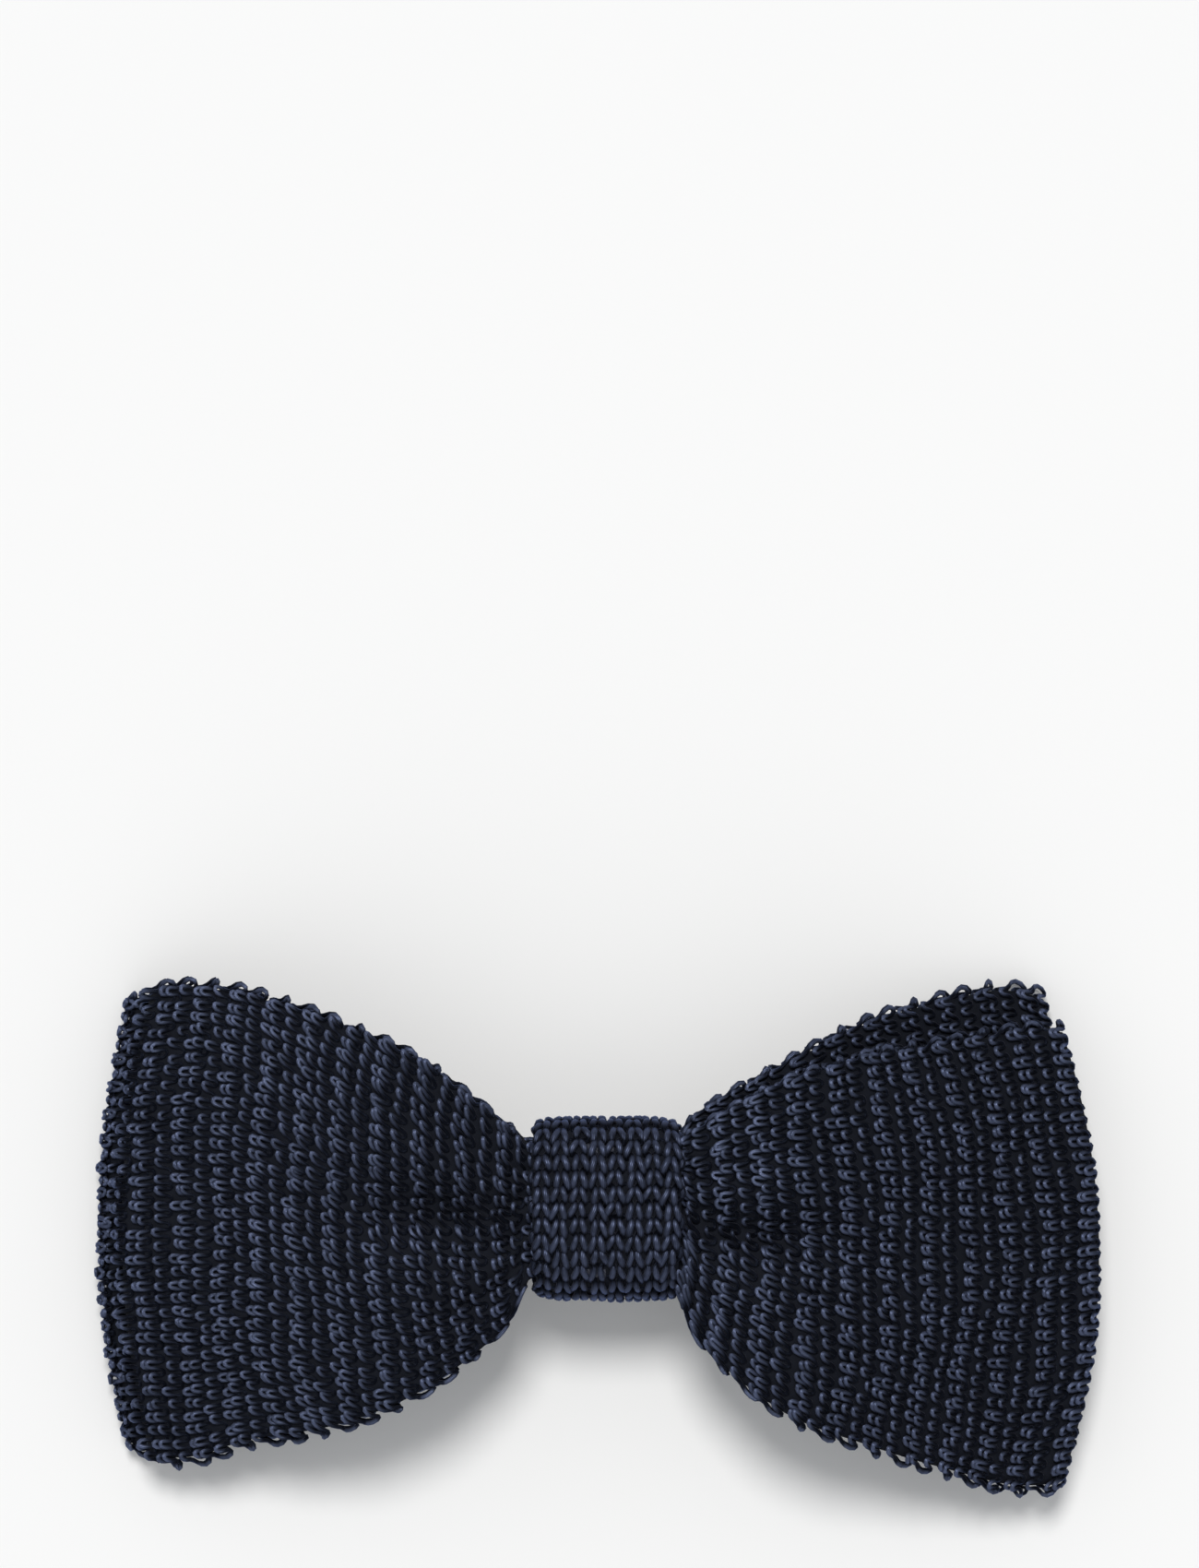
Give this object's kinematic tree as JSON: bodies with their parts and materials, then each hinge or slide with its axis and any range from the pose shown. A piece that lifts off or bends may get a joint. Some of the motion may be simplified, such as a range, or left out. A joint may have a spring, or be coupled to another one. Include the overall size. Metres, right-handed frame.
{
  "type": "bow tie",
  "caption": "Pre-tied knitted bow tie: stacked folded knit loops pinched by a knit knot band, with a sprung jaw clip behind the knot.",
  "frame": {"origin": "on the floor, under the middle of the bow as it lies on its back", "axes": "+X wing to wing, towards the wearer's left wing as seen from the front; +Y up the bow; +Z out of the bow's front"},
  "size_m": [0.115, 0.0606, 0.0212],
  "materials": {
    "knit_yarn": "glossy multi-filament yarn, chunky cross-tuck knit",
    "knot_yarn": "the same yarn, finer knit",
    "interlining": "matt non-woven",
    "thread": "polyester sewing thread",
    "clip_steel": "nickel-plated stamping",
    "spring_steel": "plain spring wire"
  },
  "bodies": {
    "bow": {"front_bow": "knit_yarn", "rear_bow": "knit_yarn", "front_interlining": "interlining", "rear_interlining": "interlining", "knot_band": "knot_yarn", "gather_thread": "thread", "knot_seam": "thread", "clip_base": "clip_steel", "hinge_pin_left": "clip_steel", "hinge_pin_right": "clip_steel", "spring_left": "spring_steel", "spring_right": "spring_steel", "clip_stitches": "thread"},
    "left_jaw": {"clip_jaw_left": "clip_steel"},
    "right_jaw": {"clip_jaw_right": "clip_steel"}
  },
  "joints": [
    {"name": "left_jaw_hinge", "type": "hinge", "parent": "bow", "child": "left_jaw", "pos_m": [-0.009, 0.0025, 0.0052], "axis": [0, -1, 0], "range_deg": [0, 22], "stiffness_Nm_per_rad": 0.006, "springref_deg": -14.32, "deforming": ["spring_left"]},
    {"name": "right_jaw_hinge", "type": "hinge", "parent": "bow", "child": "right_jaw", "pos_m": [0.009, 0.0025, 0.0052], "axis": [0, 1, 0], "range_deg": [0, 22], "stiffness_Nm_per_rad": 0.006, "springref_deg": -14.32, "deforming": ["spring_right"]}
  ]
}
